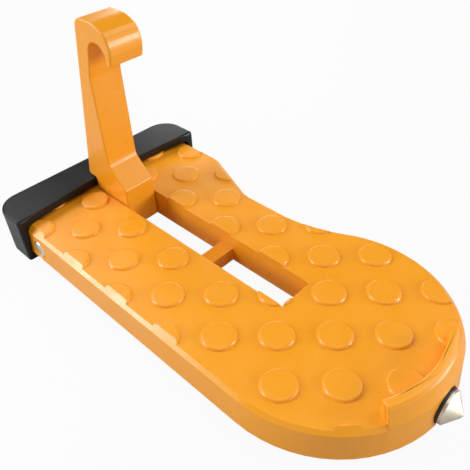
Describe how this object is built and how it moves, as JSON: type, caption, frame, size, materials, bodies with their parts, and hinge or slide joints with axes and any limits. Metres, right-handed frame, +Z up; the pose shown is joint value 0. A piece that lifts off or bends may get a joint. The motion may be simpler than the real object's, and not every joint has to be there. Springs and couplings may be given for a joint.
{
  "type": "folding car door step",
  "caption": "Cast foot plate with anti-slip studs, a slot with a swing-up hook for a car's door latch, a rubber rear cap and a pointed steel tip.",
  "frame": {"origin": "middle of the footprint of the whole step, on the surface that it lies on", "axes": "+Z up out of the tread, +X along the step from the rear cap to the pointed tip, +Y across it towards the side with the waist"},
  "size_m": [0.1564, 0.0792, 0.0773],
  "materials": {
    "body_paint": "satin",
    "hook_paint": "satin",
    "pin_steel": "satin",
    "tip_steel": "gloss",
    "cap_rubber": "satin"
  },
  "bodies": {
    "plate": {"step_body": "body_paint", "rear_cap": "cap_rubber", "hinge_pin": "pin_steel", "hammer_tip": "tip_steel"},
    "hook": {"hook": "hook_paint"}
  },
  "joints": [
    {"name": "hook_fold", "type": "hinge", "parent": "plate", "child": "hook", "pos_m": [-0.05685, 0, 0.0068], "axis": [0, 1, 0], "range_deg": [0, 84]}
  ]
}
